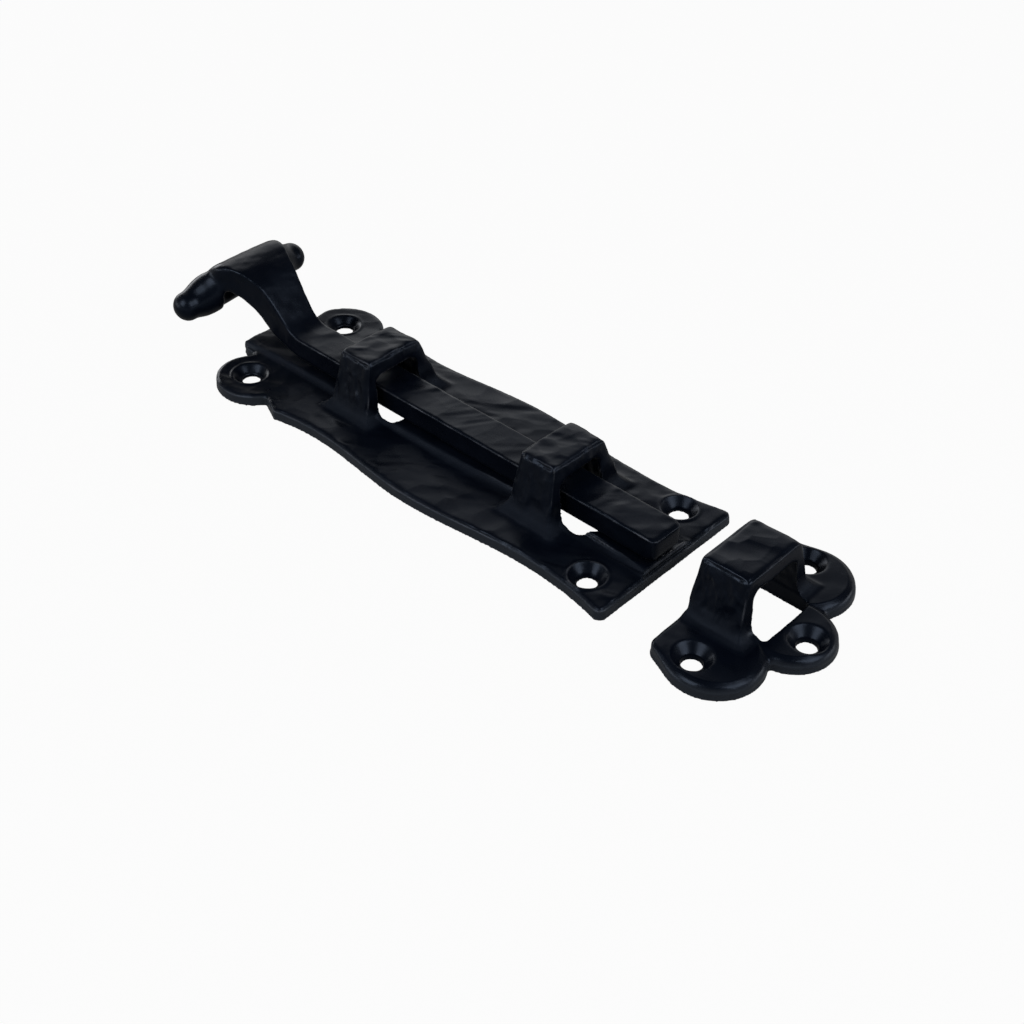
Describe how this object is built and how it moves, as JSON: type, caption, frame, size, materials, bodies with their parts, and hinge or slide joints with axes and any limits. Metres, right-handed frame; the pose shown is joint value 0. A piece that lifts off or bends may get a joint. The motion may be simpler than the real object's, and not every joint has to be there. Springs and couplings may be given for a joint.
{
  "type": "door bolt",
  "caption": "Black cast iron slide bolt: scalloped plate with bridges and countersunk holes, cranked bar with tee handle, and lobed keeper; it locks a door or gate.",
  "frame": {"origin": "middle of the back plate's screw holes, on the face that lies on the door", "axes": "+X along the bar towards the keeper, +Y across the plate, +Z out from the door"},
  "size_m": [0.26, 0.073, 0.0338],
  "materials": {
    "black_iron": "satin black paint over hammered cast iron"
  },
  "bodies": {
    "fixed_castings": {"back_plate": "black_iron", "keeper": "black_iron"},
    "bolt": {"bolt": "black_iron"}
  },
  "joints": [
    {"name": "bolt_slide", "type": "slide", "parent": "fixed_castings", "child": "bolt", "axis": [1, 0, 0], "range_m": [0, 0.0254]}
  ]
}
